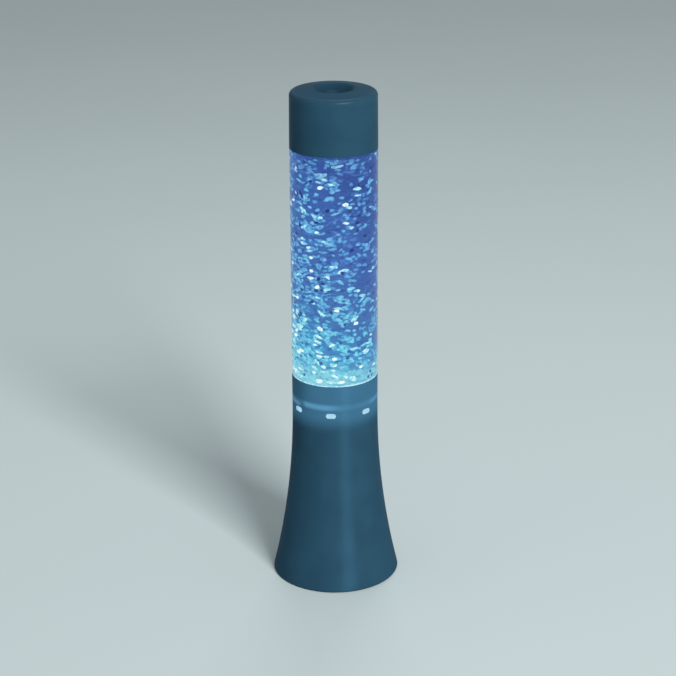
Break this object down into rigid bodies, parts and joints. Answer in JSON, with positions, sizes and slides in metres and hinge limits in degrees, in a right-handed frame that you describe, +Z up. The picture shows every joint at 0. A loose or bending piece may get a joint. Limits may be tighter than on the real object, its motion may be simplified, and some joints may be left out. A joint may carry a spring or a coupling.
{
  "type": "glitter lamp",
  "caption": "Upright table lamp: a clear cylinder of liquid and glitter flakes between a dished cap and a flared base with light slots, stirred by a magnet and lit from below.",
  "frame": {"origin": "on the table, under the lamp's upright axis", "axes": "+Z up along the lamp, -Y towards the viewer, with the switch at the back on +Y"},
  "size_m": [0.0896, 0.0896, 0.3545],
  "materials": {
    "shell_plastic": "satin moulded, slate blue",
    "dark_plastic": "fine moulded texture",
    "black_plastic": "moulded",
    "slider_plastic": "moulded",
    "white_plastic": "moulded",
    "rubber": "soft",
    "cell_can": "plain wrapped dry cell",
    "steel": "plated",
    "magnet": "nickel plated",
    "brass": "tinned",
    "board": "white solder mask",
    "led": "lit",
    "red_insulation": "insulated wire",
    "black_insulation": "insulated wire",
    "frosted_plastic": "frosted, lit from inside",
    "clear_plastic": "clear polished",
    "liquid": "lit blue liquid",
    "glitter_film": "bright metallised film"
  },
  "bodies": {
    "lamp": {"base_shell": "shell_plastic", "base_plate": "dark_plastic", "plate_screws": "steel", "rubber_pads": "rubber", "cells": "cell_can", "contact_plates": "steel", "contact_springs": "steel", "switch_bezel": "black_plastic", "switch_housing": "black_plastic", "switch_pins": "brass", "motor_plate": "white_plastic", "motor_plate_screws": "steel", "motor_can": "steel", "motor_end_cap": "black_plastic", "motor_terminals": "brass", "motor_screws": "steel", "led_board": "board", "leds": "led", "board_resistors": "black_plastic", "red_leads": "red_insulation", "black_leads": "black_insulation", "light_ring": "frosted_plastic", "slot_windows": "frosted_plastic", "vessel": "clear_plastic", "liquid": "liquid", "glitter": "glitter_film", "stopper": "white_plastic", "seal_ring": "rubber"},
    "drive": {"motor_shaft": "steel", "magnet_rotor": "white_plastic", "drive_magnets": "magnet"},
    "stirring": {"stirrer": "white_plastic", "stirrer_magnets": "magnet"},
    "slider": {"switch_slider": "slider_plastic"},
    "door": {"battery_door": "dark_plastic"},
    "cap": {"top_cap": "shell_plastic"}
  },
  "joints": [
    {"name": "drive_spin", "type": "hinge", "parent": "lamp", "child": "drive", "pos_m": [0, 0, 0.118], "axis": [0, 0, 1], "continuous": true},
    {"name": "stirrer_spin", "type": "hinge", "parent": "lamp", "child": "stirring", "pos_m": [0, 0, 0.1394], "axis": [0, 0, 1], "continuous": true},
    {"name": "switch_slide", "type": "slide", "parent": "lamp", "child": "slider", "axis": [1, 0, 0], "range_m": [0, 0.004]},
    {"name": "door_swing", "type": "hinge", "parent": "lamp", "child": "door", "pos_m": [0, -0.02865, 0.0012], "axis": [-1, 0, 0], "range_deg": [0, 90]},
    {"name": "cap_lift", "type": "slide", "parent": "lamp", "child": "cap", "axis": [0, 0, 1], "range_m": [0, 0.04]}
  ],
  "couplings": [
    {"joint": "stirrer_spin", "follows": "drive_spin", "ratio": 1}
  ]
}
